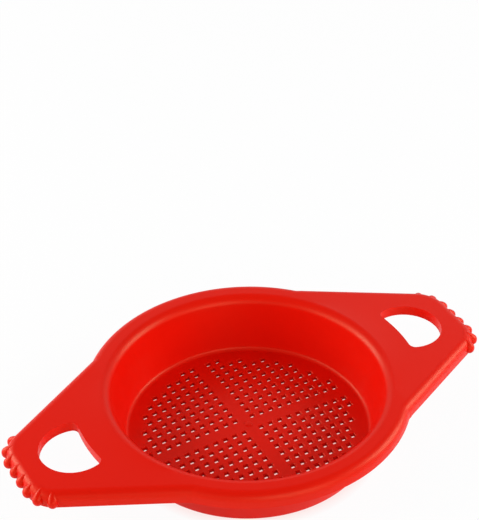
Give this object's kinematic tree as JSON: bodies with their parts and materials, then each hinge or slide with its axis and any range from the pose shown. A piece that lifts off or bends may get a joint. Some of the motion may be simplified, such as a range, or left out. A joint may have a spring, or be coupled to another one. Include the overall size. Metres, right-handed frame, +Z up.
{
  "type": "toy sand sieve",
  "caption": "Round shallow sand sieve, moulded in red plastic, with a square-hole crowned floor, a rolled rim and two drooping wing handles with finger holes and grip nubs.",
  "frame": {"origin": "the pan's axis, on the plane of the foot ring that the sieve rests on", "axes": "+X along the two handles, +Y across them, +Z up out of the pan"},
  "size_m": [0.3282, 0.2122, 0.0429],
  "materials": {
    "red_moulding": "glossy moulded polypropylene, solid red all through"
  },
  "bodies": {
    "root": {"base_ring": "red_moulding", "pan_wall": "red_moulding", "rim_roll": "red_moulding", "front_flange": "red_moulding", "back_flange": "red_moulding", "front_skirt": "red_moulding", "back_skirt": "red_moulding", "floor_cross": "red_moulding", "gate_mark": "red_moulding", "mesh_front_left": "red_moulding", "mesh_front_right": "red_moulding", "mesh_back_left": "red_moulding", "mesh_back_right": "red_moulding", "left_wing_plate": "red_moulding", "right_wing_plate": "red_moulding", "left_wing_skirt": "red_moulding", "right_wing_skirt": "red_moulding", "left_finger_collar": "red_moulding", "right_finger_collar": "red_moulding", "left_grip_nubs": "red_moulding", "right_grip_nubs": "red_moulding"}
  },
  "joints": []
}
